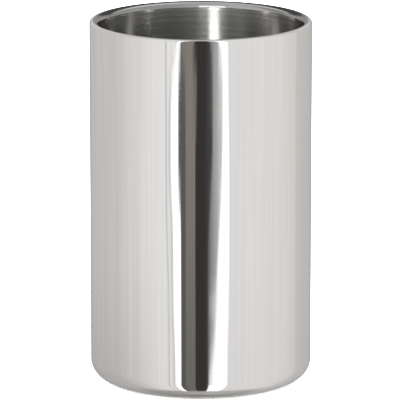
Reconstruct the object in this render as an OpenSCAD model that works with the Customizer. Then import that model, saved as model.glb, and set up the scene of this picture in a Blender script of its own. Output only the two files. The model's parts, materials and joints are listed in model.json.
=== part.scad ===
// Double-walled champagne cooler: a mirror-polished drawn shell whose rolled lip turns down
// into the mouth, a satin drawn liner hanging from that lip on a ground-flush weld ring, and
// a pressed base plate welded up inside a recessed foot, with the sealed vent in its middle.
// The frame stands on the floor at the centre of the foot, with +Z up the cooler's axis.

/* [Body] */
// Outside diameter of the polished shell
body_d = 120; // [96:1:150]
// Height from the table to the crest of the lip
body_h = 196; // [150:1:240]
// Thickness of the shell's sheet
shell_t = 0.8; // [0.6:0.1:1.2]
// Outside radius of the corner between the wall and the foot
foot_corner_r = 9; // [6:0.5:11]

/* [Lip] */
// Radius that the lip turns through on its outer side
lip_out_r = 1.6; // [1.3:0.1:2.2]
// Radius that the lip turns through on its way down into the mouth
lip_in_r = 3.4; // [2.4:0.1:4.4]
// How far the lip's inner leg reaches below the crest
lip_leg_h = 4.6; // [4.5:0.1:8]

/* [Liner] */
// Thickness of the liner's sheet
liner_t = 0.7; // [0.5:0.1:1]
// Inside radius of the corner between the liner's wall and its floor
liner_corner_r = 8; // [5:0.5:12]
// Height of the liner's floor, on its upper side, above the table
floor_z = 10; // [8:0.5:16]
// Height of the pressed step that stiffens the liner's floor
floor_step_h = 0.8; // [0.4:0.1:1.5]
// Distance from the liner's wall to the foot of that step
floor_step_inset = 14; // [13:0.5:20]

/* [Foot] */
// Width of the flat ring that the cooler stands on
foot_w = 5; // [3:0.5:8]
// Radius of the bend between the standing ring and the recess
foot_bend_r = 1.2; // [1:0.1:2]
// Depth of the recess in the underside, up to the base plate
recess_h = 2; // [1.5:0.1:3]
// Width of the ledge that the base plate lies against
ledge_w = 3.5; // [2.5:0.5:6]

/* [Base plate] */
// Thickness of the base plate
plate_t = 0.8; // [0.6:0.1:1.5]
// Gap between the plate's edge and the wall of the recess, filled by the weld
plate_gap = 0.3; // [0.2:0.05:0.5]
// Height of the ring pressed into the plate
bead_h = 0.8; // [0.4:0.1:1.2]
// Width of the ring pressed into the plate
bead_w = 6; // [4:0.5:10]
// Distance from the plate's edge to the ring pressed into it
bead_inset = 9; // [6:0.5:14]

/* [Welds and vent] */
// Height of the weld ring between the lip and the liner
rim_weld_h = 0.9; // [0.6:0.1:1.5]
// How far the rim weld stands proud inside the wall gap
rim_weld_proud = 0.25; // [0.1:0.05:0.4]
// Leg of the fillet weld round the base plate
base_weld_leg = 1; // [0.6:0.1:1.4]
// Diameter of the vent hole in the base plate
vent_d = 4; // [3:0.5:6]
// Diameter of the vent plug's head
vent_head_d = 8; // [7:0.5:10]
// Height of the vent plug's head below the plate
vent_head_h = 1; // [0.6:0.1:1.3]

/* [Hidden] */
$fn = 96;

body_r = body_d / 2;
crest_r = body_r - lip_out_r;
mouth_r = crest_r - lip_in_r;
leg_z = body_h - lip_leg_h;
liner_top_z = leg_z - rim_weld_h;
liner_r = mouth_r + liner_t;
foot_out_r = body_r - foot_corner_r;
recess_r = foot_out_r - foot_w;
ledge_r = recess_r - ledge_w;
ledge_z = recess_h + plate_t;
plate_r = recess_r - plate_gap;
bead_out_r = plate_r - bead_inset;
bead_in_r = bead_out_r - bead_w;
step_r = mouth_r - floor_step_inset;
// Amount by which a cutting shape overshoots the surface that it cuts
over = 1;

// A quarter of a disc of radius r centred at the origin. sx and sz, 1 or -1, say which quarter.
module quarter_disc(r, sx, sz) {
    intersection() {
        circle(r);
        translate([sx > 0 ? 0 : -r, sz > 0 ? 0 : -r]) square(r);
    }
}

// A quarter turn in sheet of thickness t, of outside radius r, centred at the origin. A turn
// no wider than the sheet is thick has a sharp inner corner.
module quarter_bend(r, t, sx, sz) {
    difference() {
        quarter_disc(r, sx, sz);
        if (r > t) circle(r - t);
    }
}

// The shell's section: the leg inside the mouth, over the lip, down the wall, round the foot.
module shell_outline() {
    translate([mouth_r, leg_z]) square([shell_t, body_h - lip_in_r - leg_z]);
    translate([crest_r, body_h - lip_in_r]) quarter_bend(lip_in_r, shell_t, -1, 1);
    translate([crest_r, body_h - lip_out_r]) quarter_bend(lip_out_r, shell_t, 1, 1);
    translate([body_r - shell_t, foot_corner_r])
        square([shell_t, body_h - lip_out_r - foot_corner_r]);
    translate([foot_out_r, foot_corner_r]) quarter_bend(foot_corner_r, shell_t, 1, -1);
    translate([recess_r + foot_bend_r, 0]) square([foot_w - foot_bend_r, shell_t]);
}

// The section of the recess: a bend up from the standing ring, the recess's wall, and the
// ledge that the base plate lies against.
module recess_outline() {
    translate([recess_r + foot_bend_r, foot_bend_r]) quarter_bend(foot_bend_r, shell_t, -1, -1);
    translate([recess_r, foot_bend_r]) square([shell_t, ledge_z + shell_t - foot_bend_r]);
    translate([ledge_r, ledge_z]) square([ledge_w + shell_t, shell_t]);
}

// A cup's section, filled: from the axis to radius r and from z0 to z1, its lower corner
// rounded by corner_r.
module cup_outline(r, z0, z1, corner_r) {
    translate([0, z0]) square([r - corner_r, z1 - z0]);
    translate([0, z0 + corner_r]) square([r, z1 - z0 - corner_r]);
    translate([r - corner_r, z0 + corner_r]) quarter_disc(corner_r, 1, -1);
}

module outer_shell() {
    color("gainsboro") rotate_extrude() {
        shell_outline();
        recess_outline();
    }
}

module inner_liner() {
    color("darkgray") rotate_extrude() difference() {
        union() {
            difference() {
                cup_outline(liner_r, floor_z - liner_t, liner_top_z, liner_corner_r + liner_t);
                cup_outline(mouth_r, floor_z, liner_top_z + over, liner_corner_r);
            }
            floor_step(floor_z);
        }
        floor_step(floor_z - liner_t);
    }
}

// The pressed step in the liner's floor: a low disc with a 45 degree side, standing on z.
module floor_step(z) {
    polygon([[0, z], [step_r, z], [step_r - floor_step_h, z + floor_step_h], [0, z + floor_step_h]]);
}

module rim_weld() {
    color("silver") rotate_extrude() translate([mouth_r, liner_top_z])
        square([max(shell_t, liner_t) + rim_weld_proud, rim_weld_h]);
}

// A low ridge with 45 degree sides between two radii, standing on z.
module bead(z) {
    polygon([
        [bead_in_r, z], [bead_out_r, z],
        [bead_out_r - bead_h, z + bead_h], [bead_in_r + bead_h, z + bead_h]
    ]);
}

module base_plate() {
    color("lightgray") rotate_extrude() difference() {
        union() {
            translate([vent_d / 2, recess_h]) square([plate_r - vent_d / 2, plate_t]);
            bead(recess_h + plate_t);
        }
        bead(recess_h);
    }
}

module base_weld() {
    color("silver") rotate_extrude() {
        translate([plate_r, recess_h]) square([plate_gap, plate_t]);
        intersection() {
            translate([recess_r, recess_h]) circle(base_weld_leg);
            translate([recess_r - base_weld_leg, recess_h - base_weld_leg]) square(base_weld_leg);
        }
    }
}

module vent_plug() {
    color("darkgray") {
        translate([0, 0, recess_h]) cylinder(h = plate_t, d = vent_d);
        translate([0, 0, recess_h - vent_head_h]) cylinder(h = vent_head_h, d = vent_head_d);
    }
}

outer_shell();
inner_liner();
rim_weld();
base_plate();
base_weld();
vent_plug();
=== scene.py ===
"""Double-walled champagne cooler: mirror-polished drawn shell, satin brushed liner, welded base.

Every piece is a surface of revolution about the Z axis. A piece's section is a closed line of
(radius, height) points, built from straight runs and arcs in millimetres, and turned() carries
it round the axis. Heights and radii that the frame knows are read from it.
"""
import json
import math

import bpy
import numpy as np
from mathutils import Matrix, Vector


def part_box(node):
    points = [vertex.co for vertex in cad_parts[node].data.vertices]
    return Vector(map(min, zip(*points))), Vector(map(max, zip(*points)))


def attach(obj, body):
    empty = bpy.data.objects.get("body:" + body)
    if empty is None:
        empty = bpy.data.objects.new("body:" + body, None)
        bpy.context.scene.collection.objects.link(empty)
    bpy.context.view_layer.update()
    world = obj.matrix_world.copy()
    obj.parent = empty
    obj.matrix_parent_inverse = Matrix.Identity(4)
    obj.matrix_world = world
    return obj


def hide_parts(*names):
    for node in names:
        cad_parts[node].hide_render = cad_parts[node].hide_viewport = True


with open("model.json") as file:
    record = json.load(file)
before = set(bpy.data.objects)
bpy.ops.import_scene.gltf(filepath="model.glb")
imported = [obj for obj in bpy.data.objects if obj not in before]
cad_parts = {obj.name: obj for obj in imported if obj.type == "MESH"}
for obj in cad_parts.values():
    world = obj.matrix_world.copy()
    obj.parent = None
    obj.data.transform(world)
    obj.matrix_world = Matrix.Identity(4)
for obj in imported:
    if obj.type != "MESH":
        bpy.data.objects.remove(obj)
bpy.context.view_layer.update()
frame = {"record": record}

MM = 0.001


# ---------------------------------------------------------------- sizes, in millimetres

def mount_radius(name):
    """The radius in millimetres of the round mount of that name."""
    return next(m["dims"]["r_mm"] for m in frame["record"]["mounts"] if m["name"] == name)


def heights(node):
    """The lowest and highest point of a node, in millimetres, to the nearest hundredth."""
    low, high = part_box(node)
    return round(low.z / MM, 2), round(high.z / MM, 2)


BODY_R = mount_radius("body_sleeve")
MOUTH_R = mount_radius("bottle_cavity")
BODY_H = heights("outer_shell")[1]
LEG_Z = heights("rim_weld")[1]
LINER_TOP = heights("rim_weld")[0]
LINER_UNDER = heights("inner_liner")[0]
RECESS_Z = heights("base_plate")[0]
SHELL_T = 0.8
LINER_T = 0.7
PLATE_T = 0.8
LIP_OUT_R = 1.6
LIP_IN_R = BODY_R - MOUTH_R - LIP_OUT_R
FOOT_CORNER_R = 9.0
FOOT_BEND_R = 1.2
FOOT_W = 5.0
LEDGE_W = 3.5
PLATE_GAP = 0.3
FOOT_OUT_R = BODY_R - FOOT_CORNER_R
RECESS_R = FOOT_OUT_R - FOOT_W
LEDGE_R = RECESS_R - LEDGE_W
PLATE_R = RECESS_R - PLATE_GAP
FLOOR_Z = LINER_UNDER + LINER_T
FLOOR_CORNER_R = 8.0
STEP_INSET = 14.0
STEP_R = MOUTH_R - STEP_INSET
STEP_H = 0.8
BEAD_INSET = 9.0
BEAD_W = 6.0
BEAD_OUT_R = PLATE_R - BEAD_INSET
BEAD_IN_R = BEAD_OUT_R - BEAD_W
BEAD_H = 0.8
WELD_LEG = 1.0
WELD_SCALES = 150
WELD_SCALE_DEPTH = 0.12
RIM_WELD_PROUD = 0.25
VENT_R = 2.0
VENT_HEAD_R = 4.0
VENT_HEAD_H = 1.0
# Height up to which the end of the lip's leg is brushed over together with the liner
BRUSHED_TO = LEG_Z + 1.2
# Edges that turn by more than this, in degrees, are shaded as sharp
SHARP_DEG = 35

# Brightness of the white round the cooler, for matt surfaces
WHITE_TABLE = 5.0
# The small tent over the mouth: its radius, and its foot and lid above the crest of the lip
TENT_R = 50.0
TENT_LOW = -10.0
TENT_HIGH = 134.0
# The strips of light inside the mouth: their lower and upper ends above the crest of the lip
STRIP_LOW = -80.0
STRIP_HIGH = -20.0
# The board behind the cooler: its distance from the axis, half its width, the width over which
# its sides fade, and its lower and upper edges above the crest of the lip
BOARD_Y = 100.0
BOARD_HALF = 58.0
BOARD_SOFT = 8.0
BOARD_LOW = 1.0
BOARD_HIGH = 420.0
# How much higher the cards in front stand than their edges are written, in degrees
CARD_LIFT = 0.1

# The floor's radius and its drop below the standing ring, in metres
FLOOR_RADIUS = 9.0
FLOOR_DROP = 0.0001
FLOOR_SIDES = 96
# The camera's place in metres, its lens in millimetres and how far it looks down, in degrees
CAMERA_AT = (-0.0004, -2.231, 0.604)
CAMERA_LENS = 380.0
CAMERA_DOWN = 12.81


# ---------------------------------------------------------------- sections

def run(start, end, step):
    """Points along a straight line, closest together at its two ends, so that the surface
    normals settle within a fraction of a millimetre of where a bend begins."""
    start, end = np.array(start, float), np.array(end, float)
    count = max(2, int(np.hypot(*(end - start)) / step))
    share = np.linspace(0, 1, count + 1)
    share = (1 - np.cos(math.pi * share)) / 2
    return start + (end - start) * share[:, None]


def bend(centre, radius, start_deg, end_deg, step_deg=3.0):
    """Points along an arc: centre plus radius times the cosine and sine of an angle that goes
    evenly from start_deg to end_deg, measured from pointing away from the axis."""
    count = max(2, int(abs(end_deg - start_deg) / step_deg))
    angle = np.radians(np.linspace(start_deg, end_deg, count + 1))
    return np.array(centre) + radius * np.stack([np.cos(angle), np.sin(angle)], 1)


def joined(*pieces):
    """The pieces' points in one line, without the doubles where one ends and the next begins."""
    line = np.concatenate([np.atleast_2d(p) for p in pieces])
    step = np.hypot(*np.diff(line, axis=0).T)
    return line[np.concatenate([[True], step > 1e-4])]


def sheet_section(face, thickness):
    """A sheet's closed section: its seen face, then the face behind it in the other direction.
    The back face is the seen one moved by the thickness along its own right-hand normal."""
    along = np.gradient(face, axis=0)
    along /= np.hypot(*along.T)[:, None]
    back = face + thickness * np.stack([along[:, 1], -along[:, 0]], 1)
    return np.concatenate([face, back[::-1]])


# ---------------------------------------------------------------- surfaces of revolution

def turned(name, section, turns=256, ripple=None):
    """A closed surface of revolution. A section point at radius r and height z goes to
    x = r cos(angle), y = r sin(angle), z, for evenly spaced angles. A section that starts and
    ends on the axis closes there in one point; any other closes on itself. ripple(angle, r, z)
    gives a small change of radius. UV is the angle in turns, and the way along the section
    in metres."""
    poles = section[0, 0] < 1e-6 and section[-1, 0] < 1e-6
    rings = section[1:-1] if poles else section
    angle = np.linspace(0, 2 * math.pi, turns, endpoint=False)
    a, r = np.meshgrid(angle, rings[:, 0])
    z = np.repeat(rings[:, 1:], turns, 1)
    if ripple:
        r = r + ripple(a, r, z)
    verts = np.stack([r * np.cos(a), r * np.sin(a), z], 2).reshape(-1, 3)
    rows = len(rings)
    i, j = np.meshgrid(np.arange(rows - 1 if poles else rows), np.arange(turns), indexing="ij")
    below, above = i * turns, (i + 1) % rows * turns
    j2 = (j + 1) % turns
    quads = np.stack([below + j, above + j, above + j2, below + j2], 2).reshape(-1, 4)
    faces = quads.tolist()
    way = np.concatenate([[0], np.cumsum(np.hypot(*np.diff(section, axis=0).T))])
    way = np.append(way, way[-1] + np.hypot(*(section[0] - section[-1])))
    first = 1 if poles else 0
    v_low, v_high = way[first + i].ravel(), way[first + i + 1].ravel()
    u_low, u_high = (j / turns).ravel(), ((j + 1) / turns).ravel()
    uv = np.stack([u_low, v_low, u_low, v_high, u_high, v_high, u_high, v_low], 1).reshape(-1, 2)
    if poles:
        verts = np.concatenate([verts, [[0, 0, section[0, 1]], [0, 0, section[-1, 1]]]])
        start, end = rows * turns, rows * turns + 1
        k = np.arange(turns)
        k2 = (k + 1) % turns
        last = (rows - 1) * turns
        faces += np.stack([np.full(turns, start), k, k2], 1).tolist()
        faces += np.stack([last + k, np.full(turns, end), last + k2], 1).tolist()
        near, far = np.full(turns, way[1]), np.full(turns, way[rows])
        middle = (k + 0.5) / turns
        uv_start = np.stack([middle, near * 0, k / turns, near, (k + 1) / turns, near], 1)
        uv_end = np.stack(
            [k / turns, far, middle, far * 0 + way[rows + 1], (k + 1) / turns, far], 1)
        uv = np.concatenate([uv, uv_start.reshape(-1, 2), uv_end.reshape(-1, 2)])
    mesh = bpy.data.meshes.new(name)
    mesh.from_pydata((verts * MM).tolist(), [], faces)
    layer = mesh.uv_layers.new(name="turn")
    uv[:, 1] *= MM
    layer.data.foreach_set("uv", uv.astype(np.float32).ravel())
    mesh.polygons.foreach_set("use_smooth", np.ones(len(faces), bool))
    mesh.set_sharp_from_angle(angle=math.radians(SHARP_DEG))
    piece = bpy.data.objects.new(name, mesh)
    bpy.context.scene.collection.objects.link(piece)
    return piece


def placed(piece, node, material):
    """The piece stands for a node of the frame, rides on the body and wears its material."""
    piece.data.materials.append(material)
    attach(piece, "root")
    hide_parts(node)


# ---------------------------------------------------------------- node graphs

class Graph:
    """A node tree with short calls for the sums that the materials and the studio need."""

    def __init__(self, tree):
        self.tree = tree
        tree.nodes.clear()

    def node(self, kind, **settings):
        made = self.tree.nodes.new(kind)
        for key, value in settings.items():
            setattr(made, key, value)
        return made

    def feed(self, socket, value):
        """Links an output to the socket, or sets the socket to a plain value."""
        if isinstance(value, bpy.types.NodeSocket):
            self.tree.links.new(value, socket)
        elif value is not None:
            socket.default_value = value

    def math(self, operation, a, b=None, c=None, clamp=False):
        made = self.node("ShaderNodeMath", operation=operation, use_clamp=clamp)
        for socket, value in zip(made.inputs, (a, b, c)):
            self.feed(socket, value)
        return made.outputs[0]

    def smooth(self, value, low, high, to_low=0.0, to_high=1.0):
        """An S-shaped rise from to_low to to_high as value goes from low to high."""
        made = self.node("ShaderNodeMapRange", interpolation_type="SMOOTHSTEP")
        for socket, given in zip(made.inputs, (value, low, high, to_low, to_high)):
            self.feed(socket, given)
        return made.outputs["Result"]

    def blend(self, share, a, b):
        """A number that goes from a to b as share goes from 0 to 1."""
        made = self.node("ShaderNodeMix", data_type="FLOAT")
        for socket, value in zip(made.inputs[:1] + made.inputs[2:4], (share, a, b)):
            self.feed(socket, value)
        return made.outputs[0]

    def mix(self, share, a, b):
        """A colour that goes from a to b as share goes from 0 to 1."""
        made = self.node("ShaderNodeMix", data_type="RGBA")
        for socket, value in zip([made.inputs[0], made.inputs[6], made.inputs[7]], (share, a, b)):
            self.feed(socket, value)
        return made.outputs[2]

    def scaled(self, colour, factor):
        """The colour times a number."""
        made = self.node("ShaderNodeVectorMath", operation="SCALE")
        self.feed(made.inputs[0], colour)
        self.feed(made.inputs["Scale"], factor)
        return made.outputs[0]

    def vector(self, x, y, z):
        made = self.node("ShaderNodeCombineXYZ")
        for socket, value in zip(made.inputs, (x, y, z)):
            self.feed(socket, value)
        return made.outputs[0]

    def noise(self, at, scale, detail=2.0, rough=0.5):
        made = self.node("ShaderNodeTexNoise")
        given = {"Vector": at, "Scale": scale, "Detail": detail, "Roughness": rough}
        for key, value in given.items():
            self.feed(made.inputs[key], value)
        return made.outputs["Fac"]

    def parts(self, vector):
        """The x, y and z of a vector."""
        made = self.node("ShaderNodeSeparateXYZ")
        self.feed(made.inputs[0], vector)
        return made.outputs

    def from_axis(self, x, y):
        """The distance of a place from the Z axis: the root of x squared plus y squared."""
        return self.math("SQRT", self.math("ADD", self.math("MULTIPLY", x, x),
                                           self.math("MULTIPLY", y, y)))

    def azimuth(self, x, y):
        """The direction of a place in degrees: 0 is towards the viewer, positive to the right."""
        return self.math("DEGREES", self.math("ARCTAN2", x, self.math("MULTIPLY", y, -1.0)))


def steel(name, colour, roughness, anisotropic=0.0):
    """A bare metal material. Returns it with its graph, its shader and its object coordinates.
    A finish that varies over the piece links its own colour or roughness over the plain one."""
    material = bpy.data.materials.new(name)
    material.use_nodes = True
    graph = Graph(material.node_tree)
    shader = graph.node("ShaderNodeBsdfPrincipled")
    output = graph.node("ShaderNodeOutputMaterial")
    graph.tree.links.new(shader.outputs[0], output.inputs["Surface"])
    shader.inputs["Metallic"].default_value = 1.0
    shader.inputs["Base Color"].default_value = (*colour, 1)
    shader.inputs["Roughness"].default_value = roughness
    shader.inputs["Anisotropic"].default_value = anisotropic
    place = graph.node("ShaderNodeTexCoord").outputs["Object"]
    return material, graph, shader, place


def brush_lines(g, shader, height, strength, distance):
    """Cuts the metal's fine lines as relief, to a depth in metres, and turns its grain by a
    quarter to lie round the axis, so that a highlight spreads across the lines."""
    lines = g.node("ShaderNodeBump")
    lines.inputs["Strength"].default_value = strength
    lines.inputs["Distance"].default_value = distance
    g.feed(lines.inputs["Height"], height)
    g.feed(shader.inputs["Normal"], lines.outputs[0])
    grain = g.node("ShaderNodeTangent", direction_type="UV_MAP", uv_map="turn")
    g.feed(shader.inputs["Tangent"], grain.outputs[0])
    shader.inputs["Anisotropic Rotation"].default_value = 0.25


def polished_steel():
    """Mirror-polished stainless: a clean reflection, with a faint haze that comes and goes and
    hairline marks left by the polishing mop, which ran round the body. The end of the lip's
    leg, inside the mouth, is brushed over together with the liner."""
    material, g, shader, place = steel("mirror_polished_steel", (0.80, 0.79, 0.775), 0.04, 0.9)
    x, y, z = g.parts(place)
    inside = g.smooth(g.from_axis(x, y), (MOUTH_R + 0.4) * MM, (MOUTH_R + 0.8) * MM, 1.0, 0.0)
    leg = g.smooth(z, (BRUSHED_TO - 0.5) * MM, (BRUSHED_TO + 0.5) * MM, 1.0, 0.0)
    # The recess under the foot lies within that radius too, so the low half is left out
    brushed = g.math("MULTIPLY", inside, g.math("MULTIPLY", leg, g.smooth(z, 0.1, 0.11)))
    haze = g.noise(place, 28.0, 3.0)
    mop = g.noise(g.vector(g.math("MULTIPLY", x, 9.0), g.math("MULTIPLY", y, 9.0),
                           g.math("MULTIPLY", z, 2600.0)), 1.0, 2.0)
    mirror = g.math("ADD", g.smooth(haze, 0.35, 0.75, 0.022, 0.06),
                    g.smooth(mop, 0.55, 0.8, 0.0, 0.02))
    rough = g.smooth(mop, 0.3, 0.75, 0.18, 0.25)
    g.feed(shader.inputs["Roughness"], g.blend(brushed, mirror, rough))
    brush_lines(g, shader, mop, 0.05, 0.00002)
    return material


def satin_steel():
    """Brushed stainless whose fine lines run round the axis, on the wall and on the floor
    alike. Light spreads across the lines, so a lamp is drawn out up and down the wall."""
    material, g, shader, place = steel("satin_brushed_steel", (0.62, 0.605, 0.575), 0.3, 1.0)
    x, y, _ = g.parts(place)
    way = g.parts(g.node("ShaderNodeUVMap", uv_map="turn").outputs[0])[1]
    fine = g.noise(g.vector(g.math("MULTIPLY", x, 30.0), g.math("MULTIPLY", y, 30.0),
                            g.math("MULTIPLY", way, 5200.0)), 1.0, 3.0, 0.6)
    coarse = g.noise(g.vector(g.math("MULTIPLY", x, 12.0), g.math("MULTIPLY", y, 12.0),
                              g.math("MULTIPLY", way, 900.0)), 1.0, 2.0)
    g.feed(shader.inputs["Roughness"], g.math("ADD", g.smooth(fine, 0.3, 0.75, 0.18, 0.25),
                                              g.smooth(coarse, 0.4, 0.7, 0.0, 0.03)))
    g.feed(shader.inputs["Base Color"], g.mix(g.smooth(coarse, 0.3, 0.7), (0.54, 0.53, 0.505, 1),
                                              (0.60, 0.59, 0.56, 1)))
    brush_lines(g, shader, g.math("ADD", fine, g.math("MULTIPLY", coarse, 0.5)), 0.25, 0.00003)
    return material


def spun_steel():
    """Fine lathe marks round the axis, duller than the shell, for the base plate and the vent."""
    material, g, shader, place = steel("spun_base_steel", (0.66, 0.65, 0.63), 0.3, 0.6)
    x, y, _ = g.parts(place)
    marks = g.noise(g.vector(g.math("MULTIPLY", x, 15.0), g.math("MULTIPLY", y, 15.0),
                             g.math("MULTIPLY", g.from_axis(x, y), 3000.0)), 1.0, 3.0, 0.6)
    stain = g.noise(place, 60.0, 3.0)
    g.feed(shader.inputs["Roughness"], g.math("ADD", g.smooth(marks, 0.3, 0.7, 0.26, 0.4),
                                              g.smooth(stain, 0.5, 0.8, 0.0, 0.1)))
    g.feed(shader.inputs["Base Color"], g.mix(g.smooth(stain, 0.35, 0.7), (0.62, 0.61, 0.59, 1),
                                              (0.69, 0.68, 0.66, 1)))
    brush_lines(g, shader, marks, 0.4, 0.00006)
    return material


def weld_steel():
    """A brushed-off weld bead, with a faint straw tint where the heat reached."""
    material, g, shader, place = steel("weld_steel", (0.60, 0.58, 0.54), 0.35)
    tint = g.noise(place, 160.0, 4.0)
    g.feed(shader.inputs["Base Color"], g.mix(g.smooth(tint, 0.35, 0.7), (0.62, 0.60, 0.57, 1),
                                              (0.60, 0.52, 0.40, 1)))
    g.feed(shader.inputs["Roughness"], g.smooth(tint, 0.3, 0.8, 0.28, 0.5))
    return material


# ---------------------------------------------------------------- pieces

def shell_face():
    """The shell's seen face, from the end of the leg in the mouth, over the lip, down the wall,
    round the foot and up into the recess to the inner edge of the ledge."""
    crest = BODY_R - LIP_OUT_R
    ledge_z = RECESS_Z + PLATE_T
    ledge_bend_r = 0.3
    return joined(
        run((MOUTH_R, LEG_Z), (MOUTH_R, BODY_H - LIP_IN_R), 0.4),
        bend((crest, BODY_H - LIP_IN_R), LIP_IN_R, 180, 90),
        bend((crest, BODY_H - LIP_OUT_R), LIP_OUT_R, 90, 0),
        run((BODY_R, BODY_H - LIP_OUT_R), (BODY_R, FOOT_CORNER_R), 3.5),
        bend((FOOT_OUT_R, FOOT_CORNER_R), FOOT_CORNER_R, 0, -90),
        run((FOOT_OUT_R, 0), (RECESS_R + FOOT_BEND_R, 0), 1.0),
        bend((RECESS_R + FOOT_BEND_R, FOOT_BEND_R), FOOT_BEND_R, -90, -180, 10),
        run((RECESS_R, FOOT_BEND_R), (RECESS_R, ledge_z - ledge_bend_r), 0.5),
        bend((RECESS_R - ledge_bend_r, ledge_z - ledge_bend_r), ledge_bend_r, 0, 90, 30),
        run((RECESS_R - ledge_bend_r, ledge_z), (LEDGE_R, ledge_z), 0.8),
    )


def polishing_ripple(angle, r, z):
    """How far the wall stands from a true cylinder after drawing and hand polishing: a few long,
    shallow waves, in millimetres, which fade out towards the lip and the foot as the square
    of a half sine wave does. They are in the wall only."""
    way = np.clip((z - FOOT_CORNER_R) / (BODY_H - LIP_OUT_R - FOOT_CORNER_R), 0, 1)
    waves = (
        0.016 * np.sin(3 * angle + 0.9)
        + 0.008 * np.sin(7 * angle + 2.1)
        + 0.004 * np.sin(13 * angle)
    )
    return (r > BODY_R - 0.5) * np.sin(math.pi * way) ** 2 * waves


def shell():
    return turned("polished_shell", sheet_section(shell_face(), SHELL_T), ripple=polishing_ripple)


def liner():
    """The drawn cup, from the middle of its floor up the inside to the top edge, and down the
    outside to the middle of its underside."""
    floor_r = MOUTH_R - FLOOR_CORNER_R
    step_top = FLOOR_Z + STEP_H
    press_r = 0.8
    step_in_r, step_out_r = STEP_R - 1.2, STEP_R + 0.3
    inside = joined(
        run((0, step_top), (step_in_r, step_top), 1.5),
        bend((step_in_r, step_top - press_r), press_r, 90, 45, 12),
        bend((step_out_r, FLOOR_Z + press_r), press_r, -135, -90, 12),
        run((step_out_r, FLOOR_Z), (floor_r, FLOOR_Z), 1.0),
        bend((floor_r, FLOOR_Z + FLOOR_CORNER_R), FLOOR_CORNER_R, -90, 0),
        run((MOUTH_R, FLOOR_Z + FLOOR_CORNER_R), (MOUTH_R, LINER_TOP), 2.5),
    )
    outer_r, outer_corner = MOUTH_R + LINER_T, FLOOR_CORNER_R + LINER_T
    outside = joined(
        run((outer_r, LINER_TOP), (outer_r, LINER_UNDER + outer_corner), 12),
        bend((floor_r, LINER_UNDER + outer_corner), outer_corner, 0, -90, 9),
        run((floor_r, LINER_UNDER), (STEP_R, LINER_UNDER), 3),
        run((STEP_R, LINER_UNDER), (STEP_R - STEP_H, LINER_UNDER + STEP_H), 1),
        run((STEP_R - STEP_H, LINER_UNDER + STEP_H), (0, LINER_UNDER + STEP_H), 5),
    )
    return turned("satin_liner", joined(inside, outside)[::-1])


def rim_seam():
    """The ground-flush weld between the lip's leg and the liner: a ring flush with both inside,
    standing a little proud in the wall gap."""
    back = MOUTH_R + max(SHELL_T, LINER_T) + RIM_WELD_PROUD
    nose_r, nose_start = 0.4, back - 0.2
    return turned("ground_rim_weld", joined(
        run((MOUTH_R, LINER_TOP), (MOUTH_R, LEG_Z), 0.3),
        run((MOUTH_R, LEG_Z), (nose_start, LEG_Z), 0.5),
        bend((back - nose_r, (LINER_TOP + LEG_Z) / 2), nose_r, 60, -60, 20),
        run((nose_start, LINER_TOP), (MOUTH_R + 0.1, LINER_TOP), 0.5),
    ))


def base_disc():
    """The pressed base plate with its stiffening ring and the hole for the vent."""
    top = RECESS_Z + PLATE_T
    hollow_z = RECESS_Z + BEAD_H
    hollow_in_r, hollow_out_r = BEAD_IN_R + BEAD_H, BEAD_OUT_R - BEAD_H
    under = joined(
        run((VENT_R, RECESS_Z), (BEAD_IN_R - 0.4, RECESS_Z), 2),
        run((BEAD_IN_R, RECESS_Z + 0.1), (hollow_in_r, hollow_z - 0.1), 0.5),
        run((hollow_in_r + 0.4, hollow_z), (hollow_out_r - 0.4, hollow_z), 1),
        run((hollow_out_r, hollow_z - 0.1), (BEAD_OUT_R, RECESS_Z + 0.1), 0.5),
        run((BEAD_OUT_R + 0.4, RECESS_Z), (PLATE_R, RECESS_Z), 1.5),
    )
    above = joined(
        (PLATE_R, top),
        (BEAD_OUT_R, top),
        (hollow_out_r, top + BEAD_H),
        (hollow_in_r, top + BEAD_H),
        (BEAD_IN_R, top),
        (VENT_R, top),
    )
    return turned("spun_base_plate", joined(under, above)[::-1])


def weld_scales(angle, r, z):
    """The bead's overlapping scales: a saw-tooth rise and fall of radius round the weld, only
    on its free face."""
    pitch = angle * WELD_SCALES / (2 * math.pi)
    tooth = pitch - np.floor(pitch)
    free = (z < RECESS_Z - 0.05) & (r < RECESS_R - 0.05)
    return free * WELD_SCALE_DEPTH * (0.5 - tooth ** 2)


def base_bead():
    """The weld round the base plate: a fill in the gap and a rounded bead in the corner."""
    return turned("base_weld_bead", joined(
        run((RECESS_R, RECESS_Z - WELD_LEG), (RECESS_R, RECESS_Z + PLATE_T), 0.4),
        run((RECESS_R, RECESS_Z + PLATE_T), (PLATE_R, RECESS_Z + PLATE_T), 0.2),
        run((PLATE_R, RECESS_Z + PLATE_T), (PLATE_R, RECESS_Z), 0.4),
        run((PLATE_R, RECESS_Z), (RECESS_R - WELD_LEG, RECESS_Z), 0.3),
        bend((RECESS_R, RECESS_Z), WELD_LEG, 180, 270, 11),
    ), turns=900, ripple=weld_scales)


def vent():
    """The turned plug that seals the wall gap: a stem in the plate and a chamfered head with a
    centre dimple below it."""
    low = RECESS_Z - VENT_HEAD_H
    chamfer, dimple_r = 0.3, 0.8
    return turned("vent_seal", joined(
        (0, RECESS_Z + PLATE_T), (VENT_R, RECESS_Z + PLATE_T), (VENT_R, RECESS_Z),
        (VENT_HEAD_R, RECESS_Z), (VENT_HEAD_R, low + chamfer), (VENT_HEAD_R - chamfer, low),
        run((VENT_HEAD_R - chamfer, low), (dimple_r, low), 0.6),
        bend((0, low - 0.45), 0.92, 29, 90, 10),
    )[::-1], turns=96)


polished = polished_steel()
satin = satin_steel()
placed(shell(), "outer_shell", polished)
placed(liner(), "inner_liner", satin)
placed(rim_seam(), "rim_weld", satin)
placed(base_disc(), "base_plate", spun_steel())
placed(base_bead(), "base_weld", weld_steel())
placed(vent(), "vent_plug", spun_steel())


# ---------------------------------------------------------------- studio

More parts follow.
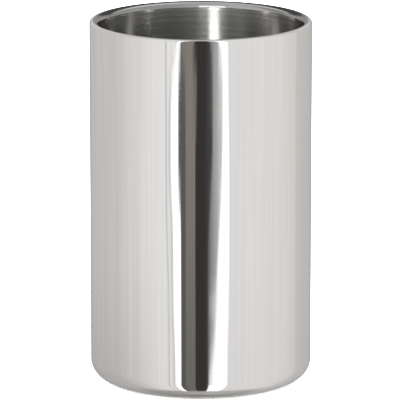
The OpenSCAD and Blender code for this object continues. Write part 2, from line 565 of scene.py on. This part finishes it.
def studio():
    """The world as a studio table: seen straight it is plain white, a matt surface
    gets even white light, and the steel reflects a pale tent with a dark gap and white cards
    on the viewer's side, and a grey table far below."""
    world = bpy.data.worlds.new("studio")
    bpy.context.scene.world = world
    world.use_nodes = True
    # Sampled as a lamp, the world would light satin steel with the matt surfaces' white
    world.cycles.sampling_method = "NONE"
    g = Graph(world.node_tree)
    x, y, z = g.parts(g.node("ShaderNodeTexCoord").outputs["Generated"])
    azimuth = g.azimuth(x, y)
    height = g.math("DEGREES", g.math("ARCSINE", z))
    tone = tent_ring(g, azimuth, height)
    tone = front_cards(g, azimuth, height, tone)
    table = ramp_of(g, azimuth, -180, 180, [
        (-180, grey(0.26, 0.02)), (-110, grey(0.36, 0.02)), (-50, grey(0.41, 0.03)),
        (0, grey(0.46, 0.03)), (60, grey(0.50, 0.02)), (110, grey(0.43, 0.02)),
        (180, grey(0.26, 0.02)),
    ])
    tone = g.mix(g.smooth(height, -66.0, -51.0, 1.0, 0.0), tone, table)
    tone = room_above(g, azimuth, height, tone)
    path = g.node("ShaderNodeLightPath").outputs
    shade = g.node("ShaderNodeBackground")
    lit = g.mix(path["Is Glossy Ray"], grey(WHITE_TABLE), tone)
    g.feed(shade.inputs["Color"], g.mix(path["Is Camera Ray"], lit, grey(1.0)))
    output = g.node("ShaderNodeOutputWorld")
    g.tree.links.new(shade.outputs[0], output.inputs[0])


def grey(level, warmth=0.0):
    """A linear grey, warmer by that share: more red, less blue."""
    return (level * (1 + warmth), level, level * (1 - warmth), 1)


def card(g, at, left, right, soft_left, soft_right):
    """How much a card between two places covers, with soft edges of the given widths."""
    rise = g.smooth(at, g.math("SUBTRACT", left, soft_left), g.math("ADD", left, soft_left))
    fall = g.smooth(at, g.math("SUBTRACT", right, soft_right), g.math("ADD", right, soft_right))
    return g.math("MULTIPLY", rise, g.math("SUBTRACT", 1.0, fall))


def total(g, *parts):
    """The sum of the parts."""
    value = parts[0]
    for part in parts[1:]:
        value = g.math("ADD", value, part)
    return value


def ramp_of(g, at, low, high, tones):
    """A smooth run of tones, each given at a place between low and high."""
    ramp = g.node("ShaderNodeValToRGB")
    ramp.color_ramp.interpolation = "EASE"
    stops = ramp.color_ramp.elements
    while len(stops) < len(tones):
        stops.new(0.5)
    for stop, (place, colour) in zip(stops, tones):
        stop.position, stop.color = (place - low) / (high - low), colour
    g.feed(ramp.inputs[0], g.math("DIVIDE", g.math("SUBTRACT", at, low), high - low))
    return ramp.outputs[0]


def tent_ring(g, azimuth, height):
    """The pale tent round the cooler, by azimuth: 0 is towards the viewer and positive is to
    the right. It is streaked a little, as hanging cloth is, and darker at its lower left."""
    tone = ramp_of(g, azimuth, -180, 180, [
        (-180, grey(0.47)), (-166, grey(0.46)), (-150, grey(0.58)), (-128, grey(0.63, 0.02)),
        (-100, grey(0.66, 0.02)), (-72, grey(0.80, 0.01)), (-55, grey(0.90)), (-40, grey(0.93)),
        (0, grey(0.93)), (36, grey(0.87)), (56, grey(0.88, 0.01)), (84, grey(0.85, 0.015)),
        (108, grey(0.78, 0.02)), (114, grey(0.74, 0.05)), (119, grey(0.64, 0.02)),
        (146, grey(0.58, 0.02)), (166, grey(0.46)), (180, grey(0.47)),
    ])
    streaks = g.noise(g.vector(g.math("MULTIPLY", azimuth, 0.35),
                               g.math("MULTIPLY", height, 0.25), 0.0), 1.0, 3.0, 0.6)
    tone = g.scaled(tone, g.smooth(streaks, 0.3, 0.7, 0.955, 1.04))
    low = g.math("MULTIPLY", g.smooth(azimuth, -75.0, -30.0, 1.0, 0.25),
                 g.smooth(height, -16.0, -13.2, 1.0, 0.0))
    return g.scaled(tone, g.math("SUBTRACT", 1.0, g.math("MULTIPLY", low, 0.2)))


def front_cards(g, azimuth, height, tone):
    """The cards and the gap between them on the viewer's side. They lean and bow, so their
    edges shift with height; behind the gap stands the unlit room."""
    height = g.math("SUBTRACT", height, CARD_LIFT)

    def shift(low, high, amount):
        """An edge's shift, in degrees, which is complete once height has gone from low to high."""
        return g.smooth(height, low, high, 0.0, amount)

    line = total(g, -36.6, shift(-12.9, -14.6, 2.9))
    white = total(g, -31.0, shift(-11.35, -10.65, 4.6), shift(-11.8, -11.0, 2.2),
                  shift(-12.4, -13.5, 2.7), shift(-14.2, -15.3, 2.2))
    slate = total(g, -23.0, shift(-11.2, -10.7, 2.6), shift(-12.6, -13.3, 2.8))
    taupe = total(g, -15.3, shift(-11.45, -10.75, -4.7))
    gap_left = total(g, -5.4, shift(-12.0, -11.6, 1.6), shift(-11.28, -10.98, -5.3),
                     shift(-10.92, -10.74, 2.4))
    gap_right = total(g, 7.4, shift(-13.7, -12.1, 4.7), shift(-11.1, -10.72, -3.2))
    white_right = total(g, 8.2, shift(-15.7, -14.5, 7.3), shift(-14.8, -11.9, 7.1),
                        shift(-11.1, -10.72, -4.4))
    white_end = total(g, 28.0, shift(-11.2, -12.7, 1.5), shift(-13.8, -15.2, -2.4),
                      shift(-10.85, -10.65, -0.7))
    grain = g.noise(g.vector(g.math("MULTIPLY", azimuth, 1.3),
                             g.math("MULTIPLY", height, 0.9), 3.0), 1.0, 2.0, 0.6)
    beige = g.mix(g.smooth(height, -16.0, -11.5), grey(0.165, 0.05), grey(0.245, 0.085))
    beige = g.scaled(beige, g.smooth(grain, 0.3, 0.7, 0.88, 1.1))
    shadow = g.mix(g.smooth(azimuth, 3.0, 9.0), grey(0.040, 0.03), grey(0.062, -0.02))
    shadow = g.scaled(shadow, g.smooth(grain, 0.3, 0.7, 0.85, 1.2))
    silver = ramp_of(g, azimuth, 0, 36, [
        (8, grey(0.16)), (12, grey(0.33)), (15, grey(0.44)), (20, grey(0.62)),
    ])
    for colour, left, right, soft_left, soft_right in (
        (grey(0.62), line, g.math("ADD", line, 1.3), 0.6, 0.6),
        (grey(0.70), g.math("SUBTRACT", white, 2.4), white, 1.0, 0.3),
        (grey(1.5), white, 0.0, 0.7, 0.5),
        (grey(0.115), slate, 0.0, 0.5, 0.5),
        (beige, taupe, 0.0, 0.9, 0.5),
        (silver, 0.0, 22.0, 0.5, 1.0),
        (grey(1.5), white_right, white_end, 1.2, 0.8),
        (shadow, gap_left, gap_right, 0.6, 1.0),
    ):
        tone = g.mix(card(g, azimuth, left, right, soft_left, soft_right), tone, colour)
    return tone


def room_above(g, azimuth, height, ring):
    """Above the horizon the ring goes on up. Overhead, and from a little above the horizon
    behind the cooler, it gives way to a plain roof, which is duller at the back."""
    aside = g.math("ABSOLUTE", azimuth)
    roof = g.mix(g.smooth(aside, 90.0, 130.0), grey(0.86), grey(0.66, 0.01))
    tone = g.mix(g.smooth(height, 66.0, 84.0), ring, roof)
    behind = g.math("MULTIPLY", g.smooth(aside, 100.0, 130.0), g.smooth(height, 4.0, 16.0))
    return g.mix(behind, tone, roof)


def glow_material(name, tone_of, cover_of):
    """A material that shines with the tone, where it covers, and is clear elsewhere. tone_of is
    given the graph, the azimuth in degrees, and the height in millimetres above the crest of
    the lip. cover_of is given the graph, x in metres, that height, and Backfacing, which tells
    the two sides of the surface apart."""
    material = bpy.data.materials.new(name)
    material.use_nodes = True
    g = Graph(material.node_tree)
    x, y, z = g.parts(g.node("ShaderNodeTexCoord").outputs["Object"])
    above = g.math("MULTIPLY", g.math("SUBTRACT", z, BODY_H * MM), 1 / MM)
    backfacing = g.node("ShaderNodeNewGeometry").outputs["Backfacing"]
    glow = g.node("ShaderNodeEmission")
    g.feed(glow.inputs["Color"], tone_of(g, g.azimuth(x, y), above))
    clear = g.node("ShaderNodeBsdfTransparent")
    sides = g.node("ShaderNodeMixShader")
    g.feed(sides.inputs[0], cover_of(g, x, above, backfacing))
    g.feed(sides.inputs[1], clear.outputs[0])
    g.feed(sides.inputs[2], glow.outputs[0])
    output = g.node("ShaderNodeOutputMaterial")
    g.feed(output.inputs["Surface"], sides.outputs[0])
    return material


def seen_in_steel_only(piece, material):
    """The piece wears the material and shows in reflections alone."""
    piece.data.materials.append(material)
    for sight in ("camera", "diffuse", "shadow", "transmission", "volume_scatter"):
        setattr(piece, "visible_" + sight, False)


def mouth_tone(g, azimuth, above):
    """The tent over the mouth: pale grey, with a white softbox in front, a little to the left.
    Below it, inside the mouth, hang strips of light that the brushed wall draws out: a bright
    one in front and a faint one far round on either side."""
    tent = ramp_of(g, azimuth, -180, 180, [
        (-180, grey(0.31)), (-160, grey(0.24)), (-148, grey(0.30)), (-115, grey(0.46, 0.01)),
        (-73, grey(0.50)), (-50, grey(0.48)), (0, grey(0.44)), (20, grey(0.40)), (57, grey(0.33)),
        (97, grey(0.34)), (134, grey(0.36)), (160, grey(0.32)), (180, grey(0.31)),
    ])
    box = card(g, azimuth, -43.5, 3.2, 1.5, 1.5)
    tent = g.mix(g.math("MULTIPLY", box, g.smooth(above, 84.0, 92.0, 1.0, 0.0)), tent, grey(0.6))
    tent = g.mix(g.math("MULTIPLY", box, g.smooth(above, 40.0, 48.0, 1.0, 0.0)), tent, grey(1.15))
    tent = g.mix(g.smooth(above, TENT_HIGH - 4.0, TENT_HIGH - 2.0), tent, grey(0.42))
    strips = ramp_of(g, azimuth, -180, 180, [
        (-180, grey(0.03)), (-163, grey(0.06)), (-156, grey(0.50, 0.03)), (-143, grey(0.50, 0.03)),
        (-136, grey(0.05)), (-112, grey(0.04)), (-93, grey(0.02)), (-73, grey(0.15)),
        (-54, grey(0.11)), (-38, grey(0.20)), (-8, grey(0.22)), (1.4, grey(0.16)),
        (20, grey(0.08)), (38, grey(0.05)),
        (57, grey(0.04)), (76, grey(0.06)), (97, grey(0.01)), (121, grey(0.02)), (132, grey(0.05)),
        (136, grey(0.55, 0.03)), (144, grey(0.55, 0.03)), (149, grey(0.03)), (160, grey(0.02)),
        (180, grey(0.02)),
    ])
    strips = g.mix(card(g, azimuth, -31.4, -16.2, 0.5, 0.5), strips, grey(3.8))
    return g.mix(g.smooth(above, TENT_LOW - 4.0, TENT_LOW - 2.0), strips, tent)


def mouth_cover(g, x, above, backfacing):
    """The inner face only: the tent from its foot up, and the strips lower down."""
    tent = g.smooth(above, TENT_LOW, TENT_LOW + 0.4)
    strips = card(g, above, STRIP_LOW, STRIP_HIGH, 1.0, 1.0)
    return g.math("MULTIPLY", backfacing, g.math("MAXIMUM", tent, strips))


def mouth_tent():
    """A small tent over the mouth: a tube round the axis with a lid, seen only in the steel and
    only from inside. It gives the mouth its own soft light, apart from the big studio's."""
    foot = BODY_H + STRIP_LOW - 4.0
    tent = turned("mouth_tent", joined((0, BODY_H + TENT_HIGH), (TENT_R, BODY_H + TENT_HIGH),
                                       (TENT_R, foot), (0, foot)), turns=96)
    seen_in_steel_only(tent, glow_material("mouth_tent", mouth_tone, mouth_cover))


def board_tone(g, azimuth, above):
    """Grey at its foot, nearly black across its middle, and grey again at the top."""
    tone = g.mix(g.smooth(above, 22.0, 36.0), grey(0.29, 0.02), grey(0.07, 0.03))
    return g.mix(g.smooth(above, 92.0, 106.0), tone, grey(0.37, 0.01))


def board_cover(g, x, above, backfacing):
    """The face towards the cooler, with soft sides."""
    across = g.smooth(g.math("ABSOLUTE", x), (BOARD_HALF - BOARD_SOFT) * MM, BOARD_HALF * MM,
                      1.0, 0.0)
    return g.math("MULTIPLY", across, g.math("SUBTRACT", 1.0, backfacing))


def back_board():
    """A narrow board that stands close behind the cooler, from the lip's height up. Only the
    steel sees it: it is the dark edge along the back of the lip."""
    low, high = BODY_H + BOARD_LOW, BODY_H + BOARD_HIGH
    mesh = bpy.data.meshes.new("back_board")
    corners = [(-BOARD_HALF, BOARD_Y, low), (BOARD_HALF, BOARD_Y, low),
               (BOARD_HALF, BOARD_Y, high), (-BOARD_HALF, BOARD_Y, high)]
    mesh.from_pydata((np.array(corners) * MM).tolist(), [], [(0, 1, 2, 3)])
    board = bpy.data.objects.new("back_board", mesh)
    bpy.context.scene.collection.objects.link(board)
    seen_in_steel_only(board, glow_material("back_board", board_tone, board_cover))


def floor():
    """A plain pale round floor. Seen from below it is clear, so that the base can be looked at,
    and the polished steel reflects the studio's table in its place."""
    material = bpy.data.materials.new("pale_floor")
    material.use_nodes = True
    g = Graph(material.node_tree)
    matt = g.node("ShaderNodeBsdfDiffuse")
    matt.inputs["Color"].default_value = (0.93, 0.93, 0.93, 1)
    clear = g.node("ShaderNodeBsdfTransparent")
    sides = g.node("ShaderNodeMixShader")
    g.feed(sides.inputs[0], g.node("ShaderNodeNewGeometry").outputs["Backfacing"])
    g.feed(sides.inputs[1], matt.outputs[0])
    g.feed(sides.inputs[2], clear.outputs[0])
    output = g.node("ShaderNodeOutputMaterial")
    g.feed(output.inputs["Surface"], sides.outputs[0])
    angle = np.linspace(0, 2 * math.pi, FLOOR_SIDES, endpoint=False)
    ring = np.stack([FLOOR_RADIUS * np.cos(angle), FLOOR_RADIUS * np.sin(angle),
                     np.full(FLOOR_SIDES, -FLOOR_DROP)], 1)
    mesh = bpy.data.meshes.new("floor")
    mesh.from_pydata(ring.tolist(), [], [list(range(FLOOR_SIDES))])
    mesh.materials.append(material)
    disc = bpy.data.objects.new("floor", mesh)
    bpy.context.scene.collection.objects.link(disc)
    disc.visible_glossy = False


def overhead_lamp():
    """A wide softbox above the table that only the matt floor takes light from."""
    data = bpy.data.lights.new("softbox", "AREA")
    data.shape, data.size, data.size_y, data.energy = "RECTANGLE", 1.6, 1.6, 9.0
    lamp = bpy.data.objects.new("softbox", data)
    lamp.location = (-0.25, -0.3, 1.7)
    lamp.rotation_euler = (math.radians(-10), math.radians(-8), 0)
    lamp.visible_glossy = False
    lamp.visible_camera = False
    bpy.context.scene.collection.objects.link(lamp)


def camera():
    """A long lens at eye height across the table, looking a little down at the cooler."""
    data = bpy.data.cameras.new("camera")
    data.sensor_width = 36.0
    data.lens = CAMERA_LENS
    data.clip_end = 30.0
    seen = bpy.data.objects.new("camera", data)
    seen.location = CAMERA_AT
    seen.rotation_euler = (math.radians(90 - CAMERA_DOWN), 0, 0)
    bpy.context.scene.collection.objects.link(seen)
    bpy.context.scene.camera = seen


studio()
mouth_tent()
back_board()
floor()
overhead_lamp()
camera()
bpy.context.scene.view_settings.view_transform = "Standard"
